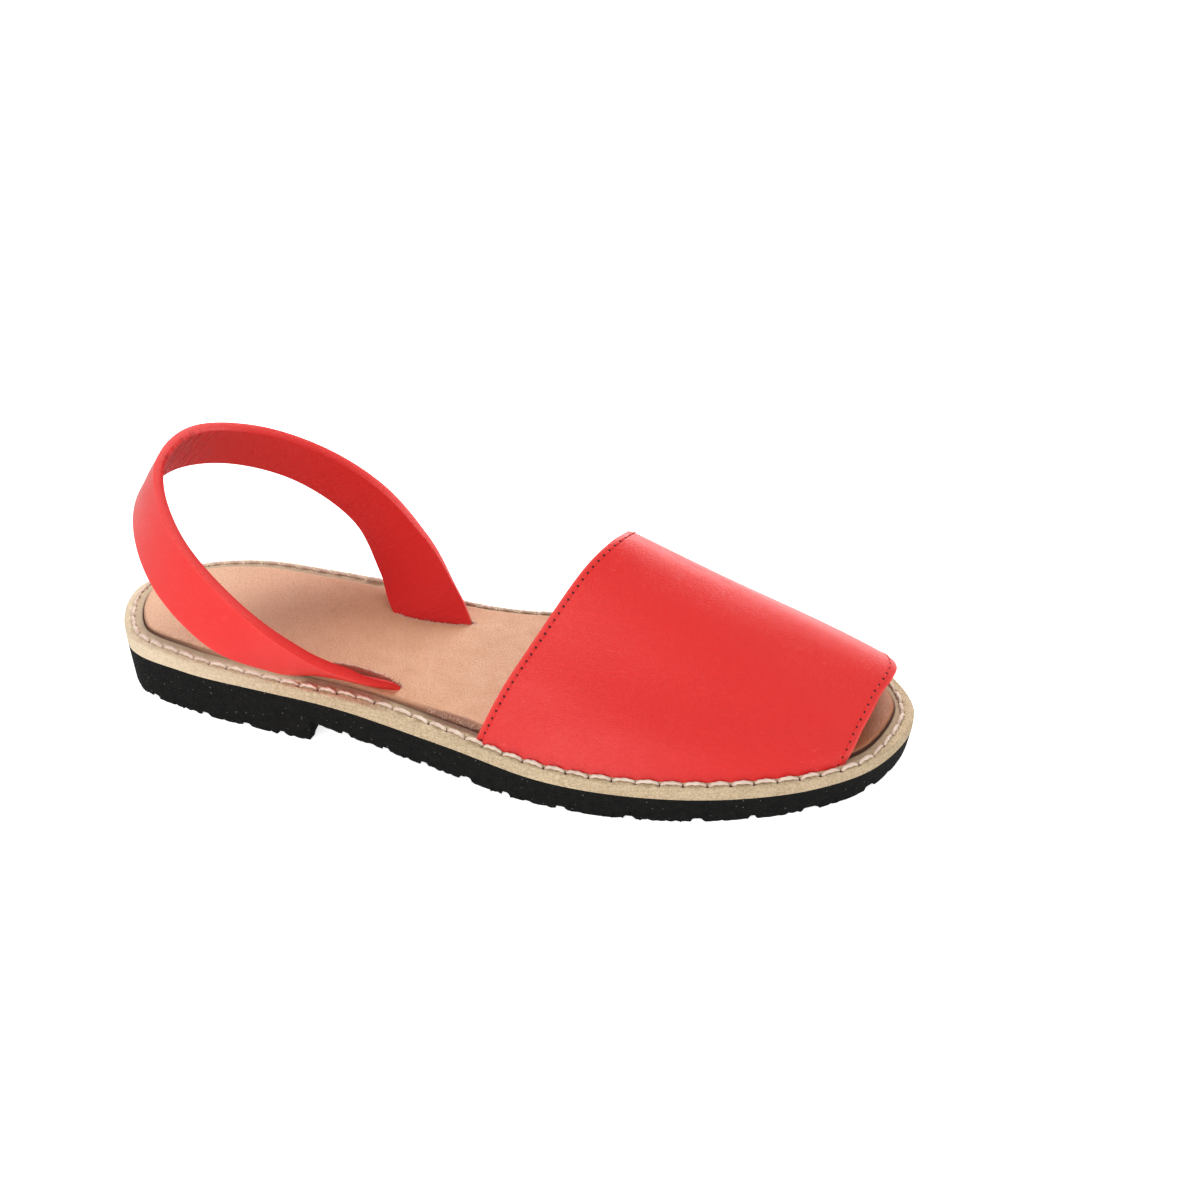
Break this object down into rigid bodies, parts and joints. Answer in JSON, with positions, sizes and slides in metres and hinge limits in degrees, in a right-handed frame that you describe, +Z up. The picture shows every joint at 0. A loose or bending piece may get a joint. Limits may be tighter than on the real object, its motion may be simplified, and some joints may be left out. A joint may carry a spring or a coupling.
{
  "type": "flat sling-back sandal",
  "caption": "Flat right-foot leather sandal with a wide open-toe vamp, a sling strap round the heel, a stitched raw leather rim and a grooved rubber sole.",
  "frame": {"origin": "on the floor under the middle of the shoe's bounding box", "axes": "+X from the heel to the toe, +Y to the inner (medial) side of the right foot, +Z up"},
  "size_m": [0.258, 0.0963, 0.0842],
  "materials": {
    "rubber": "matt",
    "raw_leather": "raw, undyed",
    "tan_leather": "smooth, lightly waxed",
    "red_leather": "smooth, soft sheen"
  },
  "bodies": {
    "root": {"outsole": "rubber", "midsole": "raw_leather", "insole": "tan_leather", "vamp": "red_leather", "heel_strap": "red_leather"}
  },
  "joints": []
}
